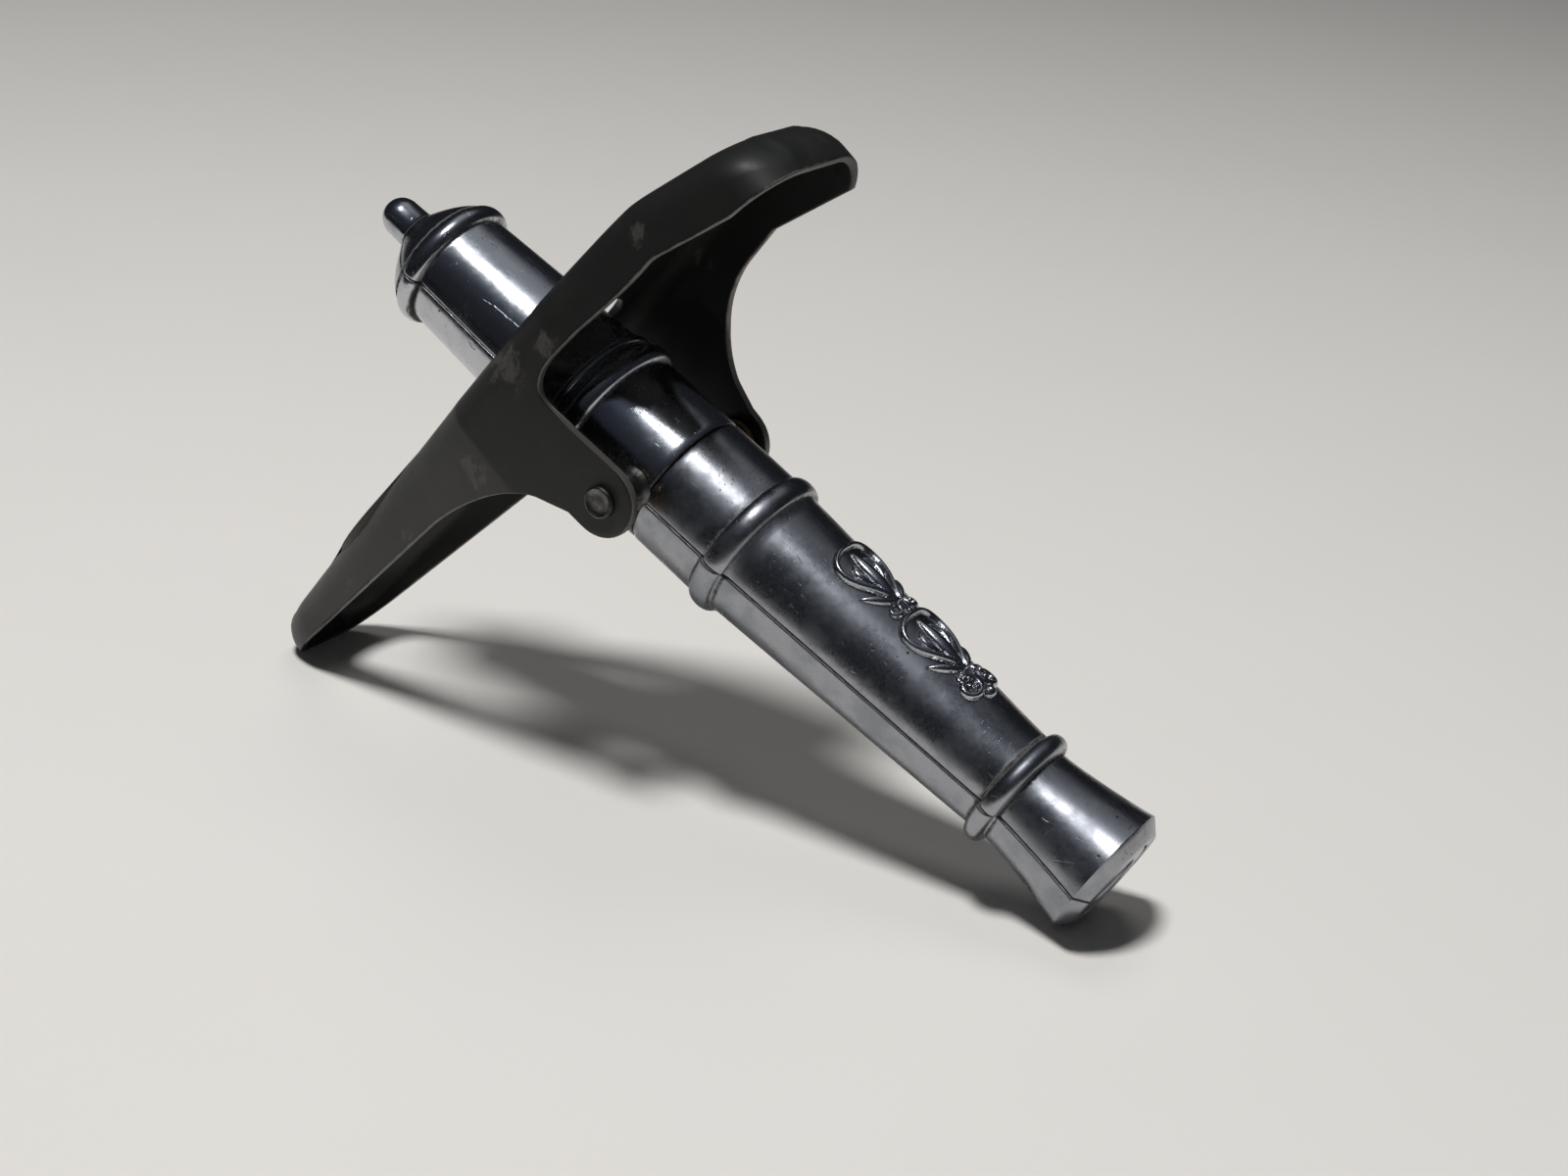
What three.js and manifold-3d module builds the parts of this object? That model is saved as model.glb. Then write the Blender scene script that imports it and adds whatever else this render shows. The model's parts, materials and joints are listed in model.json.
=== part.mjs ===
// A corkscrew in the form of a cannon. The front of the barrel is a sheath that pulls off a worm;
// the rear of the barrel carries a pressed-steel channel handle that folds on two trunnion rivets.
//
// Barrel frame: X runs along the barrel towards the muzzle from the trunnion axis, Y is the trunnion
// axis, Z is the side with the relief. The whole barrel leans on its muzzle rim and one handle tip.
import * as THREE from 'three';
import { mergeVertices } from 'three/addons/utils/BufferGeometryUtils.js';
import Module from 'manifold-3d';

const wasm = await Module();
wasm.setup();

// ---- driving dimensions, millimetres and degrees ----
const BREECH_REAR_RADIUS = 8.0;    // rear barrel beside the cap ring
const BREECH_FRONT_RADIUS = 9.2;   // rear barrel beside the collar
const SHEATH_RADIUS = 9.4;         // barrel on both sides of the seam
const SEAM_STATION = 2.3;          // seam between breech and sheath, from the trunnion axis
const MUZZLE_STATION = 74.2;       // end face of the muzzle
const KNOB_STATION = -52.4;        // tip of the cascabel knob
const WALL = 1.3;                  // thickness of the barrel shells
const GAP = 0.3;                   // clearance between neighbouring pieces
const PIVOT_TO_WEB = 23.2;         // trunnion axis to the outside of the handle's web
const EAR_HALF_WIDTH = 15.4;       // outside of an ear, from the middle plane
const SHEET = 1.2;                 // thickness of the handle's sheet steel
const LEFT_REACH = 66.8;           // trunnion axis to the tip of the straight wing
const RIGHT_REACH = 44.5;           // trunnion axis to the tip of the bent wing
const HANDLE_TILT = 10;            // handle away from square to the barrel, as it stands
const LATHE_SIDES = 36;            // facets of the barrel

// ---- small geometry helpers ----
function signedVolume(geometry) {
  const p = geometry.attributes.position;
  const index = geometry.index;
  const a = new THREE.Vector3();
  const b = new THREE.Vector3();
  const c = new THREE.Vector3();
  let volume = 0;
  for (let i = 0; i < index.count; i += 3) {
    a.fromBufferAttribute(p, index.getX(i));
    b.fromBufferAttribute(p, index.getX(i + 1));
    c.fromBufferAttribute(p, index.getX(i + 2));
    volume += a.dot(b.cross(c)) / 6;
  }
  return volume;
}

function toSolid(source) {
  const bare = new THREE.BufferGeometry();
  bare.setAttribute('position', source.attributes.position.clone());
  if (source.index) bare.setIndex(source.index.clone());
  const geometry = mergeVertices(bare, 1e-4);
  const triangles = Array.from(geometry.index.array);
  const kept = [];
  for (let i = 0; i < triangles.length; i += 3) {
    const [a, b, c] = triangles.slice(i, i + 3);
    if (a !== b && b !== c && c !== a) kept.push(a, b, c);
  }
  geometry.setIndex(kept);
  if (signedVolume(geometry) < 0) {
    for (let i = 0; i < kept.length; i += 3) [kept[i], kept[i + 1]] = [kept[i + 1], kept[i]];
  }
  return new wasm.Manifold(new wasm.Mesh({
    numProp: 3,
    vertProperties: new Float32Array(geometry.attributes.position.array),
    triVerts: new Uint32Array(kept),
  }));
}

function toGeometry(solid) {
  const mesh = solid.getMesh();
  const geometry = new THREE.BufferGeometry();
  geometry.setAttribute('position', new THREE.BufferAttribute(new Float32Array(mesh.vertProperties), 3));
  geometry.setIndex(Array.from(mesh.triVerts));
  geometry.computeVertexNormals();
  return geometry;
}

// Turns a closed profile of [station, radius] pairs about the X axis.
function turned(profile, sides = LATHE_SIDES) {
  const points = profile.map(([station, radius]) => new THREE.Vector2(radius, station));
  const geometry = new THREE.LatheGeometry(points, sides, Math.PI / sides);
  geometry.rotateZ(-Math.PI / 2);
  return toSolid(geometry);
}

// A tube or, with no bore, a rod along X between two stations.
function sleeve(from, to, radius, bore = 0, sides = 24) {
  const profile = [[from, bore], [from, radius], [to, radius], [to, bore]];
  if (bore > 0) profile.push([from, bore]);
  return turned(profile, sides);
}

// The same along Y, from one side of the middle plane outwards; side is +1 or -1.
function crossSleeve(side, from, to, radius, bore = 0, sides = 20) {
  const solid = sleeve(from, to, radius, bore, sides);
  return toSolid(toGeometry(solid).rotateZ(side * Math.PI / 2));
}

function block(x0, x1, y0, y1, z0, z1) {
  const geometry = new THREE.BoxGeometry(x1 - x0, y1 - y0, z1 - z0);
  geometry.translate((x0 + x1) / 2, (y0 + y1) / 2, (z0 + z1) / 2);
  return toSolid(geometry);
}

// Points on a half-round bead of the given width that rises from the base radius to the top radius.
function bead(station, halfWidth, base, top, steps = 5) {
  const points = [];
  for (let i = 0; i <= steps; i += 1) {
    const angle = Math.PI * i / steps;
    points.push([station - halfWidth * Math.cos(angle), base + (top - base) * Math.sin(angle)]);
  }
  return points;
}

// ---- barrel outlines ----
const DOME_END = KNOB_STATION + 5.9;
const DOME_FOOT_RADIUS = 3.2;
const DOME_EDGE_RADIUS = 8.3;
const CAP_RING = -40.4;
const COLLAR = -11.2;
const COLLAR_LINE = -14.2;
const RING_TWO = 14.3;
const RING_THREE = 58.3;
const CHASE_END_RADIUS = 7.0;
const MUZZLE_NECK_RADIUS = 6.8;
const MUZZLE_RADIUS = 8.8;
const MUZZLE_CHAMFER = 1.6;
const STEM_HOLE = 1.7;
const SPIGOT_START = -14;
const BREECH_BORE = 7.6;
const SOCKET_BORE = 8.0;
const MUZZLE_BORE = 5.6;

function breechOutline() {
  const points = [[DOME_END, STEM_HOLE], [DOME_END, DOME_FOOT_RADIUS]];
  const domeSteps = 5;
  const domeLength = CAP_RING - 1.4 - DOME_END;
  for (let i = 1; i <= domeSteps; i += 1) {
    const share = i / domeSteps;
    const bulge = 0.55 * share + 0.45 * Math.sin(Math.PI / 2 * share);
    points.push([DOME_END + domeLength * share, DOME_FOOT_RADIUS + (DOME_EDGE_RADIUS - DOME_FOOT_RADIUS) * bulge]);
  }
  points.push(...bead(CAP_RING, 1.3, BREECH_REAR_RADIUS, 9.1));
  points.push(...bead(COLLAR_LINE, 0.6, BREECH_FRONT_RADIUS, BREECH_FRONT_RADIUS + 0.5, 4));
  points.push(...bead(COLLAR, 1.4, BREECH_FRONT_RADIUS + 0.1, 10.4));
  points.push([COLLAR + 2.0, SHEATH_RADIUS], [SEAM_STATION - 0.2, SHEATH_RADIUS]);
  points.push([SEAM_STATION - 0.2, BREECH_BORE], [SPIGOT_START - 0.5, BREECH_BORE]);
  points.push([CAP_RING, BREECH_REAR_RADIUS - WALL], [CAP_RING - 3.4, 5.4]);
  points.push([DOME_END + WALL, 2.6], [DOME_END + WALL, STEM_HOLE]);
  points.push([DOME_END, STEM_HOLE]);
  return points;
}

function muzzleFlare(fraction) {
  return MUZZLE_NECK_RADIUS + (MUZZLE_RADIUS - MUZZLE_NECK_RADIUS) * fraction ** 1.4;
}

function sheathOutline() {
  const start = SEAM_STATION + 0.2;
  const rimStation = MUZZLE_STATION - MUZZLE_CHAMFER;
  const flareStart = RING_THREE + 1.4;
  const points = [[start, SOCKET_BORE], [start, SHEATH_RADIUS], [RING_TWO - 2.2, SHEATH_RADIUS]];
  points.push(...bead(RING_TWO, 1.6, SHEATH_RADIUS, 10.3));
  points.push([RING_TWO + 2.4, 9.1], [RING_THREE - 1.6, CHASE_END_RADIUS]);
  points.push(...bead(RING_THREE, 1.3, CHASE_END_RADIUS, 8.3));
  for (let i = 0; i <= 4; i += 1) {
    points.push([flareStart + (rimStation - flareStart) * i / 4, muzzleFlare(i / 4)]);
  }
  points.push([MUZZLE_STATION, MUZZLE_RADIUS - MUZZLE_CHAMFER], [MUZZLE_STATION, MUZZLE_BORE]);
  points.push([RING_THREE, MUZZLE_BORE], [13, SOCKET_BORE - 0.4], [13, SOCKET_BORE]);
  points.push([start, SOCKET_BORE]);
  return points;
}

// Both barrel sections are made as two halves that meet on the plane of the trunnions.
const TRUNNION_HOLE = 1.6;
const trunnionBore = crossSleeve(1, -20, 20, TRUNNION_HOLE);
const upperSide = block(-80, 90, -20, 20, GAP / 2, 20);
const lowerSide = block(-80, 90, -20, 20, -20, -GAP / 2);
const breechBody = turned(breechOutline()).subtract(trunnionBore);
const sheathBody = turned(sheathOutline());

// ---- relief: two scroll pairs, each with a leaf, laid on the upper side of the chase ----
function chaseRadius(station) {
  const from = RING_TWO + 2.4;
  const to = RING_THREE - 1.6;
  return 9.1 + (CHASE_END_RADIUS - 9.1) * (station - from) / (to - from);
}

function almond(station, across, length, width, turn) {
  const geometry = new THREE.SphereGeometry(1, 12, 8);
  geometry.scale(length / 2, width / 2, 1.1);
  geometry.rotateZ(turn);
  const tip = chaseRadius(station);
  geometry.translate(station, 0, tip + 0.1);
  geometry.rotateX(-across / tip);
  return toSolid(geometry);
}

function reliefOrnament() {
  const motifLength = 11.5;
  let relief = almond(45.8, 0, 3.4, 3.4, 0);
  for (let motif = 0; motif < 2; motif += 1) {
    const start = 24 + motifLength * motif;
    relief = relief.add(almond(start + 5, 0, 9, 2.6, 0));
    for (const side of [-1, 1]) {
      relief = relief.add(almond(start + 2.6, side * 2.1, 6, 2.2, side * 0.5));
      relief = relief.add(almond(start + 8.6, side * 1.6, 5.6, 2, side * -0.45));
    }
  }
  relief = relief.add(almond(43, 0, 6, 1.8, 0)).add(almond(35, 0, 19, 1.4, 0));
  const floor = turned([
    [10, 0],
    [10, chaseRadius(10) + GAP],
    [60, chaseRadius(60) + GAP],
    [60, 0],
  ]);
  return relief.subtract(floor);
}

// ---- inner pieces ----
const SPIGOT_END = 11.5;
const SPIGOT_RADIUS = 6.7;
const SHANK_RADIUS = 1.6;
const CROSS_PIN_RADIUS = 0.9;
const CROSS_PIN_STATION = -8;

function spigotSleeve() {
  const body = turned([
    [SPIGOT_START, 5.4],
    [SPIGOT_START, BREECH_BORE - GAP],
    [SEAM_STATION - 0.6, BREECH_BORE - GAP],
    [SEAM_STATION - 0.6, SPIGOT_RADIUS],
    [SPIGOT_END, SPIGOT_RADIUS],
    [SPIGOT_END, 5.4],
    [SPIGOT_START, 5.4],
  ]);
  return body.subtract(trunnionBore);
}

const crossPinHole = toSolid(
  toGeometry(crossSleeve(1, -9, 9, CROSS_PIN_RADIUS + GAP, 0, 12)).translate(CROSS_PIN_STATION, 0, 0),
);

function anchorPlug() {
  return sleeve(SPIGOT_START + 0.5, -2.4, 5.1, SHANK_RADIUS + GAP).subtract(crossPinHole);
}

function crossPin() {
  const pin = crossSleeve(1, -4.7, 4.7, CROSS_PIN_RADIUS, 0, 12);
  return toSolid(toGeometry(pin).translate(CROSS_PIN_STATION, 0, 0));
}

// ---- worm: a straight shank, then a helix whose wire tapers to a point ----
const WORM_START = 3;
const WORM_END = 57;
const WORM_PITCH = 9;
const WORM_RADIUS = 2.9;
const WIRE_RADIUS = 1.35;

class WormPath extends THREE.Curve {
  getPoint(t, target = new THREE.Vector3()) {
    const station = WORM_START + (WORM_END - WORM_START) * t;
    const swell = Math.min(1, (station - WORM_START) / 5);
    const radius = WORM_RADIUS * swell * swell * (3 - 2 * swell);
    const angle = 2 * Math.PI * (station - WORM_START) / WORM_PITCH;
    return target.set(station, radius * Math.cos(angle), radius * Math.sin(angle));
  }
}

function ring(radius, sides) {
  const shape = new THREE.Shape();
  for (let i = 0; i < sides; i += 1) {
    const angle = 2 * Math.PI * i / sides;
    if (i === 0) shape.moveTo(radius, 0);
    else shape.lineTo(radius * Math.cos(angle), radius * Math.sin(angle));
  }
  shape.closePath();
  return shape;
}

function wormSolid() {
  const steps = 96;
  const path = new WormPath();
  const options = { steps, extrudePath: path, bevelEnabled: false };
  const geometry = new THREE.ExtrudeGeometry(ring(WIRE_RADIUS, 8), options);
  const position = geometry.attributes.position;
  const centres = path.getSpacedPoints(steps);
  const vertex = new THREE.Vector3();
  const taperSteps = 16;
  for (let i = 0; i < position.count; i += 1) {
    vertex.fromBufferAttribute(position, i);
    let nearest = 0;
    centres.forEach((centre, k) => {
      if (centre.distanceToSquared(vertex) < centres[nearest].distanceToSquared(vertex)) nearest = k;
    });
    const left = steps - nearest;
    if (left < taperSteps) {
      const keep = 0.12 + 0.88 * left / taperSteps;
      vertex.sub(centres[nearest]).multiplyScalar(keep).add(centres[nearest]);
      position.setXYZ(i, vertex.x, vertex.y, vertex.z);
    }
  }
  const shank = sleeve(SPIGOT_START + 1, WORM_START + 0.6, SHANK_RADIUS, 0, 16);
  return toSolid(geometry).add(shank).subtract(crossPinHole);
}

// ---- knob and trunnion pieces ----
const KNOB_RADIUS = 2.6;
const KNOB_STEM_END = -41;

function cascabelKnob() {
  const foot = DOME_END - GAP;
  const points = [[KNOB_STEM_END, 0], [KNOB_STEM_END, STEM_HOLE - GAP], [foot, STEM_HOLE - GAP]];
  points.push([foot, DOME_FOOT_RADIUS - 0.1], [foot - 0.8, KNOB_RADIUS + 0.1]);
  for (let i = 0; i <= 5; i += 1) {
    const angle = Math.PI / 2 * i / 5;
    points.push([KNOB_STATION + KNOB_RADIUS * (1 - Math.sin(angle)), KNOB_RADIUS * Math.cos(angle)]);
  }
  return turned(points, 20);
}

const BUSH_OUT = 12.7;
const WASHER_IN = BUSH_OUT + GAP;
const WASHER_OUT = EAR_HALF_WIDTH - SHEET - GAP;
const RIVET_SHANK = 1.3;
const RIVET_HEAD = 2.05;
const RIVET_HEAD_THICKNESS = 0.5;

function trunnionBush(side) {
  return crossSleeve(side, 9.75, BUSH_OUT, 2.3, TRUNNION_HOLE);
}

function trunnionWasher(side) {
  return crossSleeve(side, WASHER_IN, WASHER_OUT, 3.3, TRUNNION_HOLE);
}

function pivotRivet(side) {
  const headFrom = EAR_HALF_WIDTH + GAP;
  const shank = crossSleeve(side, 5.9, headFrom + 0.2, RIVET_SHANK);
  const headTo = headFrom + RIVET_HEAD_THICKNESS;
  const dish = crossSleeve(side, headTo - 0.2, headTo + 1, 1.4);
  return shank.add(crossSleeve(side, headFrom, headTo, RIVET_HEAD)).subtract(dish);
}

// ---- handle ----
// Handle frame: x runs along the wings towards the bent wing, y from the web towards the ears' far
// end with the trunnion axis at 0, z across the channel.
const WEB = -PIVOT_TO_WEB;
const KINK = 26;
const KINK_SLOPE = Math.tan(THREE.MathUtils.degToRad(15));
const LEFT_SAG = Math.tan(THREE.MathUtils.degToRad(1.6));
const LEFT_TIP_ROUND = 8;
const RIGHT_TIP_ROUND = 6;
const LEFT_TURN_UP = 2.6;
const RIGHT_TURN_UP = 1.6;
const BLUNT_TIP = 4;
const SLOT_RIGHT = 5.6;
const SLOT_LEFT = -51;
const SLOT_HALF_WIDTH = 10.35;

function plainHalfWidth(x) {
  const along = THREE.MathUtils.clamp((Math.abs(x) - 10) / 42, 0, 1.4);
  return EAR_HALF_WIDTH - 5.6 * along;
}

function halfWidth(x, inset) {
  const reach = (x < 0 ? LEFT_REACH : RIGHT_REACH) - inset;
  const tipRound = x < 0 ? LEFT_TIP_ROUND : RIGHT_TIP_ROUND;
  const room = THREE.MathUtils.clamp((reach - Math.abs(x)) / tipRound, 0, 1);
  const full = plainHalfWidth(x) - inset;
  const blunt = BLUNT_TIP - inset / 2;
  return blunt + (full - blunt) * Math.sqrt(1 - (1 - room) ** 2);
}

function webLevel(x) {
  const reach = x < 0 ? LEFT_REACH : RIGHT_REACH;
  const curl = THREE.MathUtils.clamp(1 - (reach - Math.abs(x)) / 3.5, 0, 1);
  const turnUp = (x < 0 ? LEFT_TURN_UP : RIGHT_TURN_UP) * curl * curl;
  const softKink = Math.log1p(Math.exp((x - KINK) / 1.6)) * 1.6;
  const sag = LEFT_SAG * Math.max(0, -x - 12);
  return WEB + softKink * KINK_SLOPE - sag + turnUp;
}

// A filled boat-shaped block; taking the inset one from the plain one leaves the sheet.
function boat(inset) {
  const stations = [];
  const tips = [0, 0.4, 1.2, 2.4, 4.2, 6.4, 9];
  const left = -LEFT_REACH + inset;
  const right = RIGHT_REACH - inset;
  tips.forEach((step) => stations.push(left + step));
  for (let x = left + 13; x < right - 12; x += 4) stations.push(x);
  tips.slice().reverse().forEach((step) => stations.push(right - step));
  const top = 7;
  const arcSteps = 4;
  const rings = stations.map((x) => {
    const half = halfWidth(x, inset);
    const floor = webLevel(x) + inset;
    const corner = Math.min(4.2 - inset, half * 0.75);
    const section = [[-half, top]];
    for (let i = 0; i <= arcSteps; i += 1) {
      const angle = Math.PI / 2 * i / arcSteps;
      section.push([-half + corner * (1 - Math.cos(angle)), floor + corner * (1 - Math.sin(angle))]);
    }
    for (let i = 0; i <= arcSteps; i += 1) {
      const angle = Math.PI / 2 * i / arcSteps;
      section.push([half - corner * (1 - Math.sin(angle)), floor + corner * (1 - Math.cos(angle))]);
    }
    section.push([half, top]);
    return section.map(([z, y]) => [x, y, z]);
  });
  const count = rings[0].length;
  const vertices = rings.flat(2);
  const index = [];
  for (let r = 0; r + 1 < rings.length; r += 1) {
    for (let i = 0; i < count; i += 1) {
      const a = r * count + i;
      const b = r * count + (i + 1) % count;
      index.push(a, b, a + count, b, b + count, a + count);
    }
  }
  const last = (rings.length - 1) * count;
  for (let i = 1; i + 1 < count; i += 1) {
    index.push(0, i + 1, i, last, last + i, last + i + 1);
  }
  const geometry = new THREE.BufferGeometry();
  geometry.setAttribute('position', new THREE.BufferAttribute(new Float32Array(vertices), 3));
  geometry.setIndex(index);
  return toSolid(geometry);
}

// The ears' round ends and the flanges' free edges, seen from the side.
const EAR_RADIUS = 4.65;

function freeEdge(notched) {
  const edge = new THREE.Shape();
  edge.moveTo(-80, 20);
  edge.lineTo(-80, -20.2);
  edge.lineTo(-LEFT_REACH, -19.9);
  edge.lineTo(-26, -14.9);
  edge.bezierCurveTo(-19, -13.8, -10.5, -10.5, -7.6, -6.4);
  edge.lineTo(-EAR_RADIUS * 0.97, -EAR_RADIUS * 0.25);
  edge.absarc(0, 0, EAR_RADIUS, Math.PI * 1.08, Math.PI * -0.06, true);
  if (notched) {
    edge.lineTo(2.6, -11.2);
    edge.bezierCurveTo(1.6, -14.6, 3.2, -16.4, 7.4, -16.4);
    edge.lineTo(13, -16.2);
    edge.bezierCurveTo(18, -15.6, 22, -15.4, 26, -15.6);
    edge.lineTo(37, -12.3);
    edge.lineTo(RIGHT_REACH, -11.6);
  } else {
    edge.lineTo(5.6, -5.2);
    edge.bezierCurveTo(8, -10.6, 13, -14, 19, -14.4);
    edge.lineTo(26, -14.4);
    edge.lineTo(39, -10);
    edge.lineTo(RIGHT_REACH, -11.6);
  }
  edge.lineTo(70, -4);
  edge.lineTo(70, 20);
  edge.closePath();
  return edge;
}

function edgeCutter(notched, zFrom, zTo) {
  const options = { depth: zTo - zFrom, bevelEnabled: false, curveSegments: 7 };
  const geometry = new THREE.ExtrudeGeometry(freeEdge(notched), options);
  return toSolid(geometry.translate(0, 0, zFrom));
}

// The slot lets the breech swing through the web when the handle folds.
function slotCutter() {
  const slot = new THREE.Shape();
  slot.moveTo(SLOT_RIGHT - 6, SLOT_HALF_WIDTH);
  slot.bezierCurveTo(SLOT_RIGHT, SLOT_HALF_WIDTH, SLOT_RIGHT, 5, SLOT_RIGHT, 0);
  slot.bezierCurveTo(SLOT_RIGHT, -5, SLOT_RIGHT, -SLOT_HALF_WIDTH, SLOT_RIGHT - 6, -SLOT_HALF_WIDTH);
  slot.lineTo(-36, -SLOT_HALF_WIDTH);
  slot.bezierCurveTo(-43, -SLOT_HALF_WIDTH, -47, -7.6, SLOT_LEFT + 1.5, -4.6);
  slot.bezierCurveTo(SLOT_LEFT, -3, SLOT_LEFT, 3, SLOT_LEFT + 1.5, 4.6);
  slot.bezierCurveTo(-47, 7.6, -43, SLOT_HALF_WIDTH, -36, SLOT_HALF_WIDTH);
  slot.closePath();
  const options = { depth: 16, bevelEnabled: false, curveSegments: 5 };
  const geometry = new THREE.ExtrudeGeometry(slot, options);
  geometry.rotateX(Math.PI / 2);
  geometry.translate(0, WEB + 10, 0);
  return toSolid(geometry);
}

function handleChannel() {
  const nearSide = edgeCutter(true, -20, 0);
  const farSide = edgeCutter(false, 0, 20);
  const pin = new THREE.CylinderGeometry(TRUNNION_HOLE, TRUNNION_HOLE, 40, 20);
  const pinHoles = toSolid(pin.rotateX(Math.PI / 2));
  const sheet = boat(0).subtract(boat(SHEET));
  return sheet.subtract(nearSide).subtract(farSide).subtract(slotCutter()).subtract(pinHoles);
}

// ---- materials and assembly ----
function finish(color, roughness, metalness) {
  return new THREE.MeshStandardMaterial({ color, roughness, metalness });
}

const chrome = { color: 0xb9bec6, roughness: 0.16, metalness: 1 };
const steel = { color: 0x8d8f93, roughness: 0.35, metalness: 1 };
const brass = { color: 0xb08a4a, roughness: 0.4, metalness: 1 };
const black = { color: 0x1d1c1b, roughness: 0.48, metalness: 0.2 };

function piece(name, solid, look) {
  const mesh = new THREE.Mesh(toGeometry(solid), finish(look.color, look.roughness, look.metalness));
  mesh.name = name;
  return mesh;
}

const barrel = new THREE.Group();
barrel.add(piece('sheath_shell_upper', sheathBody.intersect(upperSide), chrome));
barrel.add(piece('sheath_shell_lower', sheathBody.intersect(lowerSide), chrome));
barrel.add(piece('relief_ornament', reliefOrnament(), chrome));
barrel.add(piece('muzzle_disc', sleeve(MUZZLE_STATION - 2, MUZZLE_STATION, MUZZLE_BORE - GAP), chrome));
barrel.add(piece('sheath_socket_bush', sleeve(3, 12.6, SOCKET_BORE - GAP, SPIGOT_RADIUS + GAP), brass));
barrel.add(piece('breech_shell_upper', breechBody.intersect(upperSide), chrome));
barrel.add(piece('breech_shell_lower', breechBody.intersect(lowerSide), chrome));
barrel.add(piece('cascabel_knob', cascabelKnob(), chrome));
barrel.add(piece('spigot_sleeve', spigotSleeve(), brass));
barrel.add(piece('worm_anchor_plug', anchorPlug(), steel));
barrel.add(piece('worm_cross_pin', crossPin(), steel));
barrel.add(piece('worm', wormSolid(), steel));
for (const [place, side] of [['near', -1], ['far', 1]]) {
  barrel.add(piece(`trunnion_bush_${place}`, trunnionBush(side), steel));
  barrel.add(piece(`trunnion_washer_${place}`, trunnionWasher(side), brass));
  barrel.add(piece(`pivot_rivet_${place}`, pivotRivet(side), steel));
}

const handle = new THREE.Group();
const handleMesh = piece('handle_channel', handleChannel(), black);
const toBarrelAxes = new THREE.Matrix4().makeBasis(
  new THREE.Vector3(0, 0, 1),
  new THREE.Vector3(1, 0, 0),
  new THREE.Vector3(0, 1, 0),
);
handleMesh.geometry.applyMatrix4(toBarrelAxes);
handle.add(handleMesh);
handle.rotation.y = THREE.MathUtils.degToRad(HANDLE_TILT);
barrel.add(handle);

// The barrel leans until the muzzle rim and the straight wing's tip are level with each other.
const tilt = THREE.MathUtils.degToRad(HANDLE_TILT);
const tipPoint = new THREE.Vector2(-LEFT_REACH, -19.9);
const tipStation = tipPoint.y * Math.cos(tilt) + tipPoint.x * Math.sin(tilt);
const tipHeight = tipPoint.x * Math.cos(tilt) - tipPoint.y * Math.sin(tilt);
const rimStation = MUZZLE_STATION - MUZZLE_CHAMFER;
const rimHeight = -MUZZLE_RADIUS * Math.cos(Math.PI / LATHE_SIDES);
barrel.rotation.y = Math.atan2(rimHeight - tipHeight, rimStation - tipStation);

const corkscrew = new THREE.Group();
corkscrew.add(barrel);
corkscrew.updateMatrixWorld(true);
const bounds = new THREE.Box3().setFromObject(corkscrew, true);
const middle = bounds.getCenter(new THREE.Vector3());
barrel.position.set(-middle.x, -middle.y, -bounds.min.z);

export default corkscrew;
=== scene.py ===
"""Looks for a cannon-shaped corkscrew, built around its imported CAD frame.

Barrel axes, used by every barrel piece: station runs along the barrel towards the muzzle from the
trunnion axis, side is the trunnion axis (the near side is negative), height is the side with the relief.
Sizes are millimetres until place() turns them into the frame's metres.
"""
import json
import math

import bmesh
import bpy
import numpy as np
from mathutils import Matrix, Vector, noise


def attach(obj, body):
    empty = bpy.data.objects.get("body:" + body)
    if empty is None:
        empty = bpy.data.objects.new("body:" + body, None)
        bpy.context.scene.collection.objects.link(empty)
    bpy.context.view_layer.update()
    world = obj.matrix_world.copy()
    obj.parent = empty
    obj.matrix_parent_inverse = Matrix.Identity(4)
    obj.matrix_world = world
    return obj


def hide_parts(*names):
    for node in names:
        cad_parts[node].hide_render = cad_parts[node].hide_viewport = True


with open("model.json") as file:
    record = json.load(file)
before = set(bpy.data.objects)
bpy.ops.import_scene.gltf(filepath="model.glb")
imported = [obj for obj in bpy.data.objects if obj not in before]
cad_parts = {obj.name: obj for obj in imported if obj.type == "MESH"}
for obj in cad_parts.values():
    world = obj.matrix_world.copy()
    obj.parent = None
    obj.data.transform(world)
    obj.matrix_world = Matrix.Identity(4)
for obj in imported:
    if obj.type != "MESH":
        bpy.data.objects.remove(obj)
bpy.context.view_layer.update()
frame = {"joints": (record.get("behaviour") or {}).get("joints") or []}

MM = 0.001
joints = {joint["name"]: joint for joint in frame["joints"]}
PIVOT = Vector(joints["handle_fold"]["pos_m"])
ALONG = -Vector(joints["sheath_pull"]["axis"])
ACROSS = Vector((0, 1, 0))
UP = ALONG.cross(ACROSS)


def place(station, side, height):
    """A point in the barrel's axes, in millimetres, as a point of the frame, in metres."""
    return PIVOT + MM * (ALONG * station + ACROSS * side + UP * height)


# ---- mesh helpers ----
def add_piece(name, vertices, faces, body, nodes, material, sharp=40):
    """Makes a mesh piece, turns its faces outwards and ties it to the frame."""
    mesh = bpy.data.meshes.new(name)
    mesh.from_pydata([tuple(v) for v in vertices], [], faces)
    work = bmesh.new()
    work.from_mesh(mesh)
    bmesh.ops.recalc_face_normals(work, faces=work.faces)
    work.to_mesh(mesh)
    work.free()
    piece = bpy.data.objects.new(name, mesh)
    bpy.context.scene.collection.objects.link(piece)
    piece.data.materials.append(material)
    mesh.shade_smooth()
    mesh.set_sharp_from_angle(angle=math.radians(sharp))
    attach(piece, body)
    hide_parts(*nodes)
    return piece


def set_attribute(piece, name, values):
    attribute = piece.data.attributes.new(name, "FLOAT", "POINT")
    attribute.data.foreach_set("value", np.asarray(values, np.float32))


def smooth_step(low, high, value):
    t = min(1.0, max(0.0, (value - low) / (high - low)))
    return t * t * (3 - 2 * t)


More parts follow.
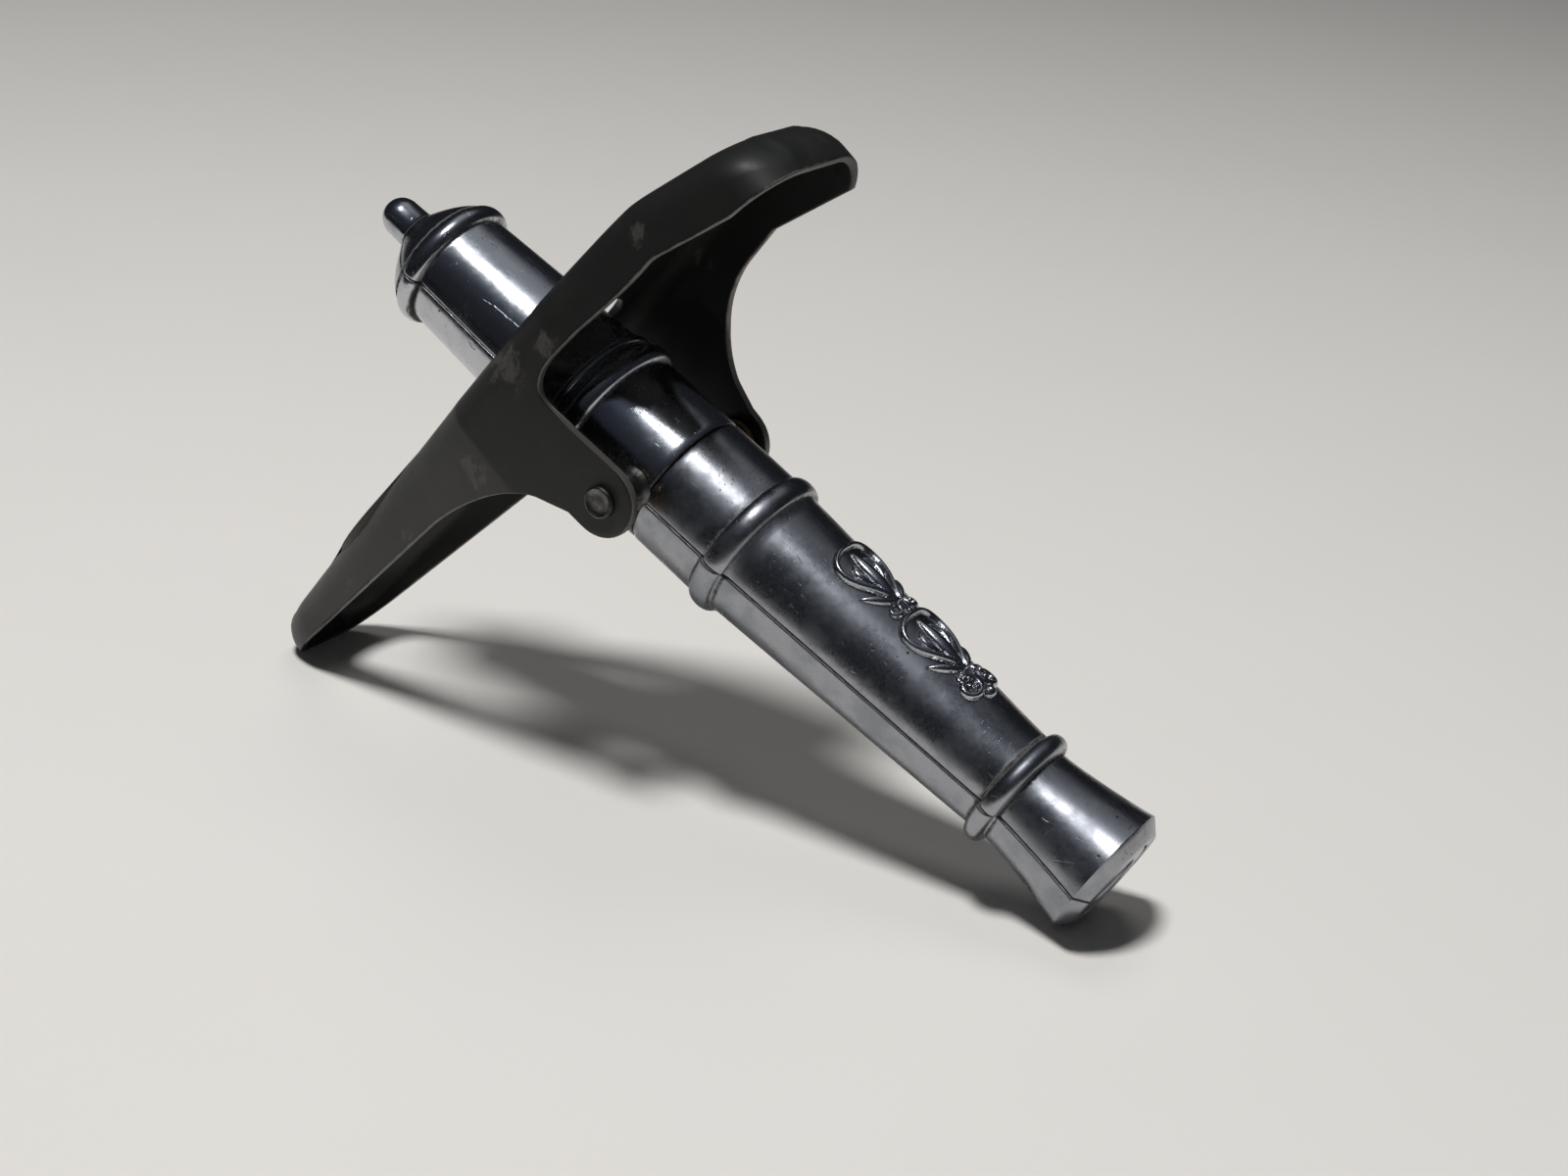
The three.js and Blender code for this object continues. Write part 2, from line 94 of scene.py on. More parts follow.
def bezier(start, pull_a, pull_b, end, steps):
    """Points after start on a cubic curve to end."""
    points = []
    for i in range(1, steps + 1):
        t = i / steps
        weights = ((1 - t) ** 3, 3 * t * (1 - t) ** 2, 3 * t * t * (1 - t), t ** 3)
        corners = (start, pull_a, pull_b, end)
        points.append(tuple(sum(w * c[k] for w, c in zip(weights, corners)) for k in (0, 1)))
    return points


def refine(points, step):
    """The same outline with no gap longer than step."""
    result = [points[0]]
    for a, b in zip(points, points[1:]):
        pieces = max(1, math.ceil(math.dist(a, b) / step))
        for i in range(1, pieces + 1):
            result.append(tuple(a[k] + (b[k] - a[k]) * i / pieces for k in (0, 1)))
    return result


def bead(station, half_width, base, top, steps=12):
    """A half-round ring of a turned outline."""
    points = []
    for i in range(steps + 1):
        angle = math.pi * i / steps
        swell = math.sin(angle) ** 0.85
        points.append((station - half_width * math.cos(angle), base + (top - base) * swell))
    return points


def loft_faces(profile, sides):
    """Faces between a turned profile's rings. It closes on itself unless both ends are on the axis."""
    count = len(profile)
    on_axis = profile[0][1] == 0 and profile[-1][1] == 0
    faces = []
    for i in range(count - 1 if on_axis else count):
        for j in range(sides):
            k = (j + 1) % sides
            below = (i + 1) % count
            faces.append((i * sides + j, i * sides + k, below * sides + k, below * sides + j))
    return faces


def turned(name, profile, body, nodes, material, sides=96, axis="station", uneven=0.0, seed=0.0):
    """Turns a closed outline of (distance along, radius) pairs about the barrel or a trunnion axis."""
    vertices = []
    for along, radius in profile:
        for j in range(sides):
            angle = 2 * math.pi * j / sides
            around = Vector((along, 3 * math.cos(angle) + seed, 3 * math.sin(angle)))
            wobble = radius * (1 + uneven * noise.noise(around))
            first, second = wobble * math.cos(angle), wobble * math.sin(angle)
            if axis == "station":
                vertices.append(place(along, first, second))
            else:
                vertices.append(place(first, along, second))
    piece = add_piece(name, vertices, loft_faces(profile, sides), body, nodes, material)
    merge_close(piece)
    return piece


def merge_close(piece):
    work = bmesh.new()
    work.from_mesh(piece.data)
    bmesh.ops.remove_doubles(work, verts=work.verts, dist=1e-7)
    bmesh.ops.dissolve_degenerate(work, edges=work.edges, dist=1e-8)
    bmesh.ops.recalc_face_normals(work, faces=work.faces)
    work.to_mesh(piece.data)
    work.free()


# ---- material helpers ----
class Nodes:
    """A short way to write a material's node tree."""

    def __init__(self, name):
        self.material = bpy.data.materials.new(name)
        self.material.use_nodes = True
        self.tree = self.material.node_tree
        self.tree.nodes.clear()
        self.output = self.tree.nodes.new("ShaderNodeOutputMaterial")
        self.coordinates = self.tree.nodes.new("ShaderNodeTexCoord").outputs["Object"]

    def add(self, kind, inputs=(), **settings):
        node = self.tree.nodes.new(kind)
        for key, value in settings.items():
            setattr(node, key, value)
        for key, value in dict(inputs).items():
            socket = node.inputs[key]
            if isinstance(value, bpy.types.NodeSocket):
                self.tree.links.new(value, socket)
            else:
                socket.default_value = value
        return node

    def scaled(self, x, y, z, turn=(0, 0, 0)):
        inputs = {"Vector": self.coordinates, "Scale": (x, y, z), "Rotation": turn}
        return self.add("ShaderNodeMapping", inputs).outputs["Vector"]

    def noise(self, size, detail=4.0, rough=0.6, vector=None):
        """Noise from 0 to 1 whose features are about size metres across."""
        inputs = {"Vector": vector or self.coordinates, "Scale": 1 / size}
        inputs.update({"Detail": detail, "Roughness": rough})
        return self.add("ShaderNodeTexNoise", inputs).outputs["Fac"]

    def cells(self, size, vector=None, randomness=1.0):
        inputs = {"Vector": vector or self.coordinates, "Scale": 1 / size, "Randomness": randomness}
        return self.add("ShaderNodeTexVoronoi", inputs).outputs["Distance"]

    def attribute(self, name):
        return self.add("ShaderNodeAttribute", attribute_name=name).outputs["Fac"]

    def between(self, value, low, high, to_low=0.0, to_high=1.0):
        inputs = {"Value": value, 1: low, 2: high, 3: to_low, 4: to_high}
        node = self.add("ShaderNodeMapRange", inputs, interpolation_type="SMOOTHSTEP")
        return node.outputs["Result"]

    def math(self, operation, a, b=0.5):
        return self.add("ShaderNodeMath", {0: a, 1: b}, operation=operation).outputs["Value"]

    def mix(self, factor, a, b):
        inputs = {"Factor": factor, 6: a, 7: b}
        return self.add("ShaderNodeMix", inputs, data_type="RGBA").outputs[2]

    def bump(self, height, strength, distance, below=None):
        inputs = {"Height": height, "Strength": strength, "Distance": distance}
        if below is not None:
            inputs["Normal"] = below
        return self.add("ShaderNodeBump", inputs).outputs["Normal"]

    def finish(self, inputs):
        shader = self.add("ShaderNodeBsdfPrincipled", inputs)
        self.tree.links.new(shader.outputs["BSDF"], self.output.inputs["Surface"])
        return self.material


def chrome_material(name, bright, hazy, smooth, rough):
    """Worn chrome plate: hazy in patches, finely pitted, darker in the grooves: painted shade there, with a
    crust of grime.
    """
    n = Nodes(name)
    haze = n.between(n.noise(0.006, 5), 0.42, 0.68)
    speckle = n.noise(0.0006, 3, 0.7)
    clusters = n.between(n.noise(0.008, 3), 0.50, 0.64)
    pits = n.math("MULTIPLY", n.between(n.cells(0.0007), 0.10, 0.17, 1.0, 0.0), clusters)
    big_pits = n.between(n.cells(0.0044), 0.030, 0.050, 1.0, 0.0)
    worn = n.math("MAXIMUM", n.math("MULTIPLY", pits, 0.8), big_pits)
    scratch_a = n.noise(0.002, 2, 0.5, n.scaled(0.25, 9, 1, (0.2, 0.5, 0.4)))
    scratch_b = n.noise(0.002, 2, 0.5, n.scaled(8, 0.3, 2, (0.1, 0.9, -0.5)))
    scratches = n.math("MAXIMUM", n.between(scratch_a, 0.70, 0.74), n.between(scratch_b, 0.71, 0.75))
    ragged = n.noise(0.0011, 5, 0.7)
    # The groove mask darkens the plate in the grooves, along the parting line and in the relief's hollows:
    # painted shade, with a crust of grime.
    grime_and_shade = n.between(n.math("MULTIPLY", n.attribute("groove"), n.math("ADD", ragged, 0.35)), 0.34, 0.66)
    plate = n.mix(haze, bright, hazy)
    plate = n.mix(worn, plate, (0.09, 0.085, 0.08, 1))
    # Near-black colour where the groove mask is high: painted shade together with grime.
    colour = n.mix(grime_and_shade, plate, (0.045, 0.040, 0.034, 1))
    uneven = n.math("ADD", n.math("MULTIPLY", haze, 0.5), n.math("MULTIPLY", speckle, 0.6))
    roughness = n.between(uneven, 0.1, 0.9, smooth, rough)
    roughness = n.math("ADD", roughness, n.math("MULTIPLY", scratches, 0.10))
    roughness = n.math("ADD", roughness, n.math("MULTIPLY", n.math("MAXIMUM", worn, grime_and_shade), 0.35))
    metal = n.between(grime_and_shade, 0.0, 1.0, 1.0, 0.25)
    waves = n.bump(n.noise(0.0045, 2), 0.10, 0.0006)
    grains = n.bump(speckle, 0.10, 0.00004, waves)
    dents = n.bump(n.math("ADD", worn, scratches), 0.35, -0.00006, grains)
    crust = n.bump(n.math("MULTIPLY", grime_and_shade, ragged), 0.5, 0.0001, dents)
    return n.finish({"Base Color": colour, "Metallic": metal, "Roughness": roughness, "Normal": crust})


def enamel_material():
    """Satin black enamel on pressed steel, rubbed bare along its edges and scuffed on its flats."""
    n = Nodes("black_enamel")
    cloud = n.noise(0.012, 4)
    fine = n.noise(0.0009, 5, 0.7)
    edge = n.attribute("edge")
    rubbed = n.between(n.math("ADD", edge, n.math("MULTIPLY", n.noise(0.0022, 5, 0.7), 0.55)), 0.98, 1.16)
    scuff_shape = n.math("MULTIPLY", n.attribute("scuff"), n.noise(0.0016, 6, 0.75, n.scaled(1, 2.2, 0.6)))
    scuffs = n.between(scuff_shape, 0.40, 0.52)
    dust = n.between(n.noise(0.004, 6, 0.7), 0.5, 0.75)
    black = n.mix(cloud, (0.010, 0.0108, 0.0112, 1), (0.0155, 0.0155, 0.0145, 1))
    black = n.mix(n.math("MULTIPLY", dust, 0.3), black, (0.034, 0.031, 0.026, 1))
    black = n.mix(n.math("MULTIPLY", scuffs, 0.6), black, (0.085, 0.08, 0.072, 1))
    colour = n.mix(rubbed, black, (0.20, 0.19, 0.175, 1))
    roughness = n.between(n.math("ADD", cloud, n.math("MULTIPLY", fine, 0.4)), 0.3, 1.1, 0.36, 0.54)
    roughness = n.math("ADD", roughness, n.math("MULTIPLY", n.math("MAXIMUM", rubbed, scuffs), 0.08))
    metal = n.math("MULTIPLY", rubbed, 0.75)
    orange_peel = n.bump(n.noise(0.0008, 3), 0.12, 0.00008)
    chips = n.bump(n.math("MAXIMUM", rubbed, scuffs), 0.25, -0.00005, orange_peel)
    return n.finish({"Base Color": colour, "Metallic": metal, "Roughness": roughness, "Normal": chips})


def metal_material(name, bright, dull, low, high, grain=0.0016):
    """Bare metal with tarnish patches, a fine grain and small dents."""
    n = Nodes(name)
    patches = n.between(n.noise(0.003, 6, 0.7), 0.38, 0.66)
    fine = n.noise(grain, 5, 0.75)
    colour = n.mix(patches, bright, dull)
    roughness = n.between(n.math("ADD", patches, fine), 0.2, 1.6, low, high)
    surface = n.bump(fine, 0.3, 0.00008)
    return n.finish({"Base Color": colour, "Metallic": 1.0, "Roughness": roughness, "Normal": surface})


def paper_material():
    """Pale matt paper with a faint fibre."""
    n = Nodes("paper")
    shade = n.noise(0.09, 5, 0.6)
    fibre = n.noise(0.0012, 4, 0.7)
    colour = n.mix(shade, (0.735, 0.725, 0.705, 1), (0.775, 0.765, 0.75, 1))
    surface = n.bump(fibre, 0.15, 0.00012)
    return n.finish({"Base Color": colour, "Roughness": 0.85, "Specular IOR Level": 0.2, "Normal": surface})


chrome = chrome_material("worn_chrome", (0.50, 0.515, 0.545, 1), (0.42, 0.44, 0.48, 1), 0.17, 0.30)
# A darker, rougher copy of the chrome for the sheath and its muzzle plate: its darker colour is painted
# shade.
shaded_chrome = chrome_material("shaded_chrome", (0.36, 0.37, 0.395, 1), (0.28, 0.295, 0.325, 1),
                              0.24, 0.42)
enamel = enamel_material()
steel = metal_material("drawn_steel", (0.46, 0.46, 0.47, 1), (0.22, 0.21, 0.20, 1), 0.22, 0.5)
brass = metal_material("dull_brass", (0.50, 0.35, 0.16, 1), (0.17, 0.11, 0.06, 1), 0.3, 0.6)
rivet_steel = metal_material("worn_rivet", (0.17, 0.165, 0.16, 1), (0.035, 0.033, 0.032, 1),
                             0.34, 0.55, 0.0007)

# ---- barrel outlines ----
KNOB_TIP = -52.4
DOME_END = -46.5
DOME_FOOT_RADIUS = 3.2
DOME_EDGE_RADIUS = 8.3
KNOB_RADIUS = 2.6
KNOB_STEM_END = -41
CAP_RING = -40.4
COLLAR_LINE = -14.2
COLLAR = -11.2
SEAM = 2.3
RING_TWO = 14.3
RING_THREE = 58.3
MUZZLE = 74.2
BREECH_REAR_RADIUS = 8.0
BREECH_FRONT_RADIUS = 9.2
SHEATH_RADIUS = 9.4
CHASE_START_RADIUS = 9.1
CHASE_END_RADIUS = 7.0
NECK_RADIUS = 6.8
MUZZLE_RADIUS = 8.74
CHAMFER = 1.6
SHELL_GAP = 0.06          # half of the parting line between the upper and lower halves
EDGE_ROUND = 0.3          # rounding of each half along the parting line


def breech_outline(shift):
    """Outer outline of the rear barrel; shift moves the rings of one half along the barrel."""
    points = [(DOME_END, 1.7), (DOME_END, DOME_FOOT_RADIUS)]
    dome_length = CAP_RING - 1.4 - DOME_END
    for i in range(1, 15):
        share = i / 14
        bulge = 0.55 * share + 0.45 * math.sin(math.pi / 2 * share)
        radius = DOME_FOOT_RADIUS + (DOME_EDGE_RADIUS - DOME_FOOT_RADIUS) * bulge
        points.append((DOME_END + dome_length * share, radius))
    points += bead(CAP_RING + shift, 1.3, BREECH_REAR_RADIUS, 9.05)
    points += bead(COLLAR_LINE + shift, 0.6, BREECH_FRONT_RADIUS, BREECH_FRONT_RADIUS + 0.5, 8)
    points += bead(COLLAR + shift, 1.4, BREECH_FRONT_RADIUS + 0.1, 10.35)
    points += [(COLLAR + 2.2, SHEATH_RADIUS), (SEAM - 0.45, SHEATH_RADIUS)]
    points += [(SEAM - 0.22, SHEATH_RADIUS - 0.1), (SEAM - 0.15, SHEATH_RADIUS - 0.35)]
    return refine(points, 0.9)


def sheath_outline(shift):
    rim = MUZZLE - CHAMFER
    flare_start = RING_THREE + 1.4
    points = [(SEAM + 0.15, SHEATH_RADIUS - 0.35), (SEAM + 0.22, SHEATH_RADIUS - 0.1)]
    points += [(SEAM + 0.45, SHEATH_RADIUS), (RING_TWO - 2.2, SHEATH_RADIUS)]
    points += bead(RING_TWO + shift, 1.6, SHEATH_RADIUS - 0.05, 10.25)
    points += [(RING_TWO + 2.4, CHASE_START_RADIUS), (RING_THREE - 1.6, CHASE_END_RADIUS)]
    points += bead(RING_THREE + shift, 1.3, CHASE_END_RADIUS, 8.25)
    for i in range(13):
        flare = NECK_RADIUS + (MUZZLE_RADIUS - NECK_RADIUS) * (i / 12) ** 1.4
        points.append((flare_start + (rim - 0.12 - flare_start) * i / 12, flare))
    points += [(rim, MUZZLE_RADIUS - 0.07), (MUZZLE - 0.12, MUZZLE_RADIUS - CHAMFER + 0.05)]
    points += [(MUZZLE - 0.02, MUZZLE_RADIUS - CHAMFER - 0.12), (MUZZLE - 0.02, 5.9)]
    return refine(points, 0.9)


def interpolate(station, table):
    """Straight interpolation in a short table of (station, value) pairs."""
    for (s0, v0), (s1, v1) in zip(table, table[1:]):
        if station <= s1:
            t = min(1.0, max(0.0, (station - s0) / (s1 - s0)))
            return v0 + (v1 - v0) * t
    return table[-1][1]


BREECH_BORE = ((DOME_END + 1.3, 1.7), (CAP_RING - 3.4, 5.4), (CAP_RING, 6.7), (-14.5, 7.6), (SEAM, 7.6))
SHEATH_BORE = ((SEAM, 8.0), (13.0, 8.0), (13.4, 7.6), (RING_THREE, 5.6), (MUZZLE, 5.6))


def half_shell(name, outline, bore, wall, sign, drift, body, nodes, grooves, seed):
    """One half of a barrel section. sign is +1 for the half with the relief, drift shifts it bodily."""
    edge_steps = (0.0, 0.03, 0.08, 0.15, 0.23, EDGE_ROUND)
    inside = [math.pi * j / 56 for j in range(2, 55)]
    count = 2 * len(edge_steps) + len(inside)
    vertices = []
    groove = []
    first, last = outline[0][0], outline[-1][0]

    def ring(station, radius, rounded):
        gap_angle = math.asin(min(0.9, SHELL_GAP / radius))
        angles = [gap_angle + step / radius for step in edge_steps]
        spread = angles + [a for a in inside if angles[-1] < a < math.pi - angles[-1]]
        while len(spread) < count - len(edge_steps):
            spread.append((spread[-1] + math.pi - angles[-1]) / 2)
        spread += [math.pi - a for a in reversed(angles)]
        for j, angle in enumerate(spread):
            step = min(j, count - 1 - j)
            inset = 0.0
            if rounded and step < len(edge_steps):
                lean = 1 - edge_steps[step] / EDGE_ROUND
                inset = EDGE_ROUND * (1 - math.sqrt(max(0.0, 1 - lean * lean))) * 0.8
            uneven = 0.0
            if rounded:
                around = Vector((station / 7, 1.3 * math.cos(angle), 1.3 * sign * math.sin(angle)))
                uneven = 0.035 * noise.noise(around + Vector((seed, 0, 0)))
            r = radius - inset + uneven - (0.035 if rounded else 0.0)
            side = -r * math.cos(angle)
            height = sign * max(SHELL_GAP, r * math.sin(angle))
            along = min(max(station + drift[0], first), last)
            vertices.append(place(along, side + drift[1], height + drift[2]))
            # The groove mask darkens the plate along the parting line, in the ring grooves and faintly
            # inside: painted shade, with grime.
            near_edge = math.exp(-min(angle, math.pi - angle) * radius / 0.45)
            near_groove = max(math.exp(-abs(station - g) / 0.45) for g in grooves)
            groove.append(max(0.72 * near_edge, 0.9 * near_groove) if rounded else 0.3)

    for station, radius in outline:
        ring(station, radius, True)
    for station, radius in outline:
        s = min(max(station, bore[0][0]), wall)
        ring(s, min(interpolate(s, bore), radius - 0.02 if radius > 1.8 else 1.65), False)
    rows = len(outline)
    faces = []
    for surface in (0, rows):
        for i in range(rows - 1):
            for j in range(count - 1):
                a = (surface + i) * count + j
                faces.append((a, a + 1, a + count + 1, a + count))
    for i in range(rows - 1):
        for j in (0, count - 1):
            a, b = i * count + j, (rows + i) * count + j
            faces.append((a, a + count, b + count, b))
    for i in (0, rows - 1):
        for j in range(count - 1):
            a, b = i * count + j, (rows + i) * count + j
            faces.append((a, a + 1, b + 1, b))
    # The sheath takes the darker chrome copy, which paints shade on it.
    plate = shaded_chrome if body == "sheath" else chrome
    piece = add_piece(name, vertices, faces, body, nodes, plate)
    set_attribute(piece, "groove", groove)
    merge_close(piece)


breech_grooves = (CAP_RING - 1.5, CAP_RING + 1.5, COLLAR_LINE - 0.8, COLLAR_LINE + 1.0, COLLAR + 1.6, SEAM)
sheath_grooves = (SEAM, RING_TWO - 1.8, RING_TWO + 1.8, RING_THREE - 1.5, RING_THREE + 1.5)
RING_SHIFT = 0.22         # the lower halves' rings don't quite meet the upper halves'
SIDE_DRIFT = -0.09        # and the lower halves stand a little to the near side
for half, sign in (("upper", 1), ("lower", -1)):
    shift = 0.0 if sign > 0 else RING_SHIFT
    drift = (0.0, 0.0, 0.0) if sign > 0 else (0.0, SIDE_DRIFT, 0.0)
    half_shell(f"breech_half_{half}", breech_outline(shift), BREECH_BORE, SEAM - 0.2, sign, drift,
               "breech", [f"breech_shell_{half}"], breech_grooves, 3.1 + sign)
    half_shell(f"sheath_half_{half}", sheath_outline(-shift), SHEATH_BORE, MUZZLE - 0.1, sign, drift,
               "sheath", [f"sheath_shell_{half}"], sheath_grooves, 8.4 + sign)


# ---- small turned pieces ----
def knob():
    foot = DOME_END - 0.05
    points = [(KNOB_STEM_END, 0.0), (KNOB_STEM_END, 1.35), (foot - 0.1, 1.35), (foot - 0.1, 3.05)]
    points += [(foot - 0.35, 2.85), (foot - 0.7, 2.68)]
    for i in range(15):
        angle = math.pi / 2 * i / 14
        station = KNOB_TIP + 0.02 + KNOB_RADIUS * (1 - math.sin(angle))
        points.append((station, KNOB_RADIUS * math.cos(angle)))
    piece = turned("knob", points, "breech", ["cascabel_knob"], chrome, 72, uneven=0.02)
    # The groove mask darkens the crease at the knob's foot: painted shade, with grime.
    values = [math.exp(-abs((v.co - PIVOT).dot(ALONG) / MM - foot) / 0.35) for v in piece.data.vertices]
    set_attribute(piece, "groove", values)


def rounded_sleeve(start, end, radius, bore, lip=0.25):
    """Outline of a tube whose outer ends are eased."""
    points = [(start, bore), (start, radius - lip)]
    for i in range(1, 5):
        angle = math.pi / 2 * i / 4
        points.append((start + lip * (1 - math.cos(angle)), radius - lip * (1 - math.sin(angle))))
    for i in range(5):
        angle = math.pi / 2 * i / 4
        points.append((end - lip * (1 - math.sin(angle)), radius - lip * (1 - math.cos(angle))))
    return points + [(end, bore)]


def muzzle_face():
    face = MUZZLE - 0.05
    points = [(MUZZLE - 2, 0.0), (MUZZLE - 2, 5.3), (face - 0.25, 5.3), (face - 0.05, 5.15), (face, 4.9)]
    points += [(face, 3.4), (face - 0.12, 3.25), (face - 0.25, 3.1), (face - 0.3, 2.4), (face - 0.3, 0.0)]
    # The muzzle plate takes the sheath's darker chrome copy: painted shade.
    piece = turned("muzzle_plate", points, "sheath", ["muzzle_disc"], shaded_chrome, 96)
    set_attribute(piece, "groove", [0.2] * len(piece.data.vertices))


def inner_sleeves():
    spigot = [(-14, 5.4), (-14, 7.3), (1.5, 7.3), (1.7, 7.2), (1.7, 6.7), (10.9, 6.7), (11.2, 6.6)]
    spigot += [(11.5, 6.3), (11.5, 5.4)]
    turned("spigot", spigot, "breech", ["spigot_sleeve"], brass)
    bush = rounded_sleeve(3, 12.6, 7.7, 7.0, 0.2)
    turned("socket_bush", bush, "sheath", ["sheath_socket_bush"], brass)
    plug = [(-13.5, 1.9), (-13.5, 4.8), (-13.2, 5.1), (-2.9, 5.1), (-2.5, 4.9), (-2.4, 4.5), (-2.4, 1.9)]
    turned("anchor_plug", plug, "breech", ["worm_anchor_plug"], steel, 64)


def cross_pin():
    station = -8
    points = rounded_sleeve(-4.7, 4.7, 0.9, 0.0, 0.2)
    vertices = []
    sides = 32
    for along, radius in points:
        for j in range(sides):
            angle = 2 * math.pi * j / sides
            vertices.append(place(station + radius * math.cos(angle), along, radius * math.sin(angle)))
    faces = loft_faces(points, sides)
    piece = add_piece("cross_pin", vertices, faces, "breech", ["worm_cross_pin"], steel)
    merge_close(piece)


def trunnion_side(place_name, side):
    """The bush, washer and rivet on one side; side is -1 near and +1 far."""
    def outward(points):
        return [(side * along, radius) for along, radius in points]

    bush = [(9.2, 1.6), (9.2, 2.9), (9.7, 2.45), (10.2, 2.3), (12.5, 2.3), (12.7, 2.1), (12.7, 1.6)]
    turned(f"bush_{place_name}", outward(bush), "breech", [f"trunnion_bush_{place_name}"],
           rivet_steel, 48, "side")
    washer = rounded_sleeve(13.0, 13.9, 3.3, 1.6, 0.2)
    turned(f"washer_{place_name}", outward(washer), "breech", [f"trunnion_washer_{place_name}"],
           brass, 56, "side")
    rivet = [(5.9, 0.0), (5.9, 1.3), (15.3, 1.3), (15.3, 1.95), (15.42, 2.05), (15.8, 2.06)]
    rivet += [(16.0, 2.0), (16.12, 1.88), (16.15, 1.76), (16.1, 1.64), (16.0, 1.55), (15.92, 1.3)]
    rivet += [(15.9, 0.9), (15.95, 0.5), (15.97, 0.0)]
    turned(f"rivet_{place_name}", outward(rivet), "breech", [f"pivot_rivet_{place_name}"],
           rivet_steel, 56, "side", 0.03, side)


def worm():
    """A straight shank, then a wire wound in a screw that tapers to a sharp point."""
    start, end, pitch, coil, wire = 3.0, 57.0, 9.0, 2.9, 1.35
    steps, sides = 420, 20
    centres = [Vector((-13, 0, 0)), Vector((-6, 0, 0)), Vector((-1, 0, 0))]
    for i in range(steps + 1):
        station = start + (end - start) * i / steps
        swell = smooth_step(0, 1, (station - start) / 5)
        angle = 2 * math.pi * (station - start) / pitch
        centres.append(Vector((station, coil * swell * math.cos(angle), coil * swell * math.sin(angle))))
    vertices = []
    total = len(centres)
    normal = Vector((0, 0, 1))
    for i, centre in enumerate(centres):
        ahead = centres[min(i + 1, total - 1)] - centres[max(i - 1, 0)]
        ahead.normalize()
        normal = (normal - ahead * normal.dot(ahead)).normalized()
        across = ahead.cross(normal)
        left = (total - 1 - i) / 62
        keep = min(1.0, 0.03 + 0.97 * min(1.0, left) ** 0.8)
        shank = 1.6 if centre.x < 1 else wire + 0.25 * (1 - smooth_step(1, 7, centre.x))
        for j in range(sides):
            angle = 2 * math.pi * j / sides
            p = centre + (normal * math.cos(angle) + across * math.sin(angle)) * min(shank, 1.6) * keep
            vertices.append(place(*p))
    faces = []
    for i in range(total - 1):
        for j in range(sides):
            k = (j + 1) % sides
            faces.append((i * sides + j, i * sides + k, (i + 1) * sides + k, (i + 1) * sides + j))
    faces.append(tuple(range(sides)))
    faces.append(tuple((total - 1) * sides + j for j in range(sides)))
    add_piece("worm_wire", vertices, faces, "breech", ["worm"], steel, 50)


knob()
muzzle_face()
inner_sleeves()
cross_pin()
trunnion_side("near", -1)
trunnion_side("far", 1)
worm()


# ---- relief on the chase: scrolls and leaves of a plain, generic kind ----
def chase_radius(station):
    start, end = RING_TWO + 2.4, RING_THREE - 1.6
    return CHASE_START_RADIUS + (CHASE_END_RADIUS - CHASE_START_RADIUS) * (station - start) / (end - start)


def relief_strokes():
    """Curves in (station, across) with the half-width and height of the ridge along each."""
    strokes = []

    def stroke(points, width, height, pointed=True, mirrored=True):
        for flip in ((1, -1) if mirrored else (1,)):
            line = [(s, flip * u) for s, u in points]
            strokes.append((line, width, height, pointed))

    def curl(station, across, radius, turn_from, turn_to, width, height):
        steps = 14
        line = []
        for i in range(steps + 1):
            angle = math.radians(turn_from + (turn_to - turn_from) * i / steps)
            shrink = radius * (1 - 0.45 * i / steps)
            line.append((station + shrink * math.cos(angle), across + shrink * math.sin(angle)))
        stroke(line, width, height, False)

    for start in (23.8, 35.2):
        loop = [(start + 0.4, 0.2)]
        loop += bezier((start + 0.4, 0.2), (start + 0.2, 2.6), (start + 1.6, 4.3), (start + 4.0, 3.5), 10)
        loop += bezier((start + 4.0, 3.5), (start + 6.2, 2.7), (start + 7.4, 1.0), (start + 9.4, 0.3), 10)
        stroke(loop, 0.5, 0.85, False)
        leaf = [(start + 1.6, 0.0), (start + 9.0, 0.0)]
        stroke(leaf, 1.0, 0.8, True, False)
        vein = [(start + 2.6, 1.35)]
        vein += bezier((start + 2.6, 1.35), (start + 3.6, 2.4), (start + 5.0, 2.2), (start + 6.3, 1.1), 8)
        stroke(vein, 0.5, 0.6)
        spray = [(start + 9.6, 0.4)]
        spray += bezier((start + 9.6, 0.4), (start + 9.0, 1.8), (start + 7.8, 2.6), (start + 6.6, 4.2), 8)
        stroke(spray, 0.6, 0.6)
        curl(start + 10.3, 1.9, 1.0, -150, 130, 0.38, 0.6)
        stroke([(start + 11.0, 0.0), (start + 11.4, 0.0)], 0.45, 0.6, False, False)
    curl(46.9, 2.0, 1.7, -170, 150, 0.5, 0.8)
    curl(48.4, 0.0, 0.9, 90, -90, 0.4, 0.6)
    stroke([(46.6, 1.9), (47.0, 1.9)], 0.55, 0.65, False)
    return strokes


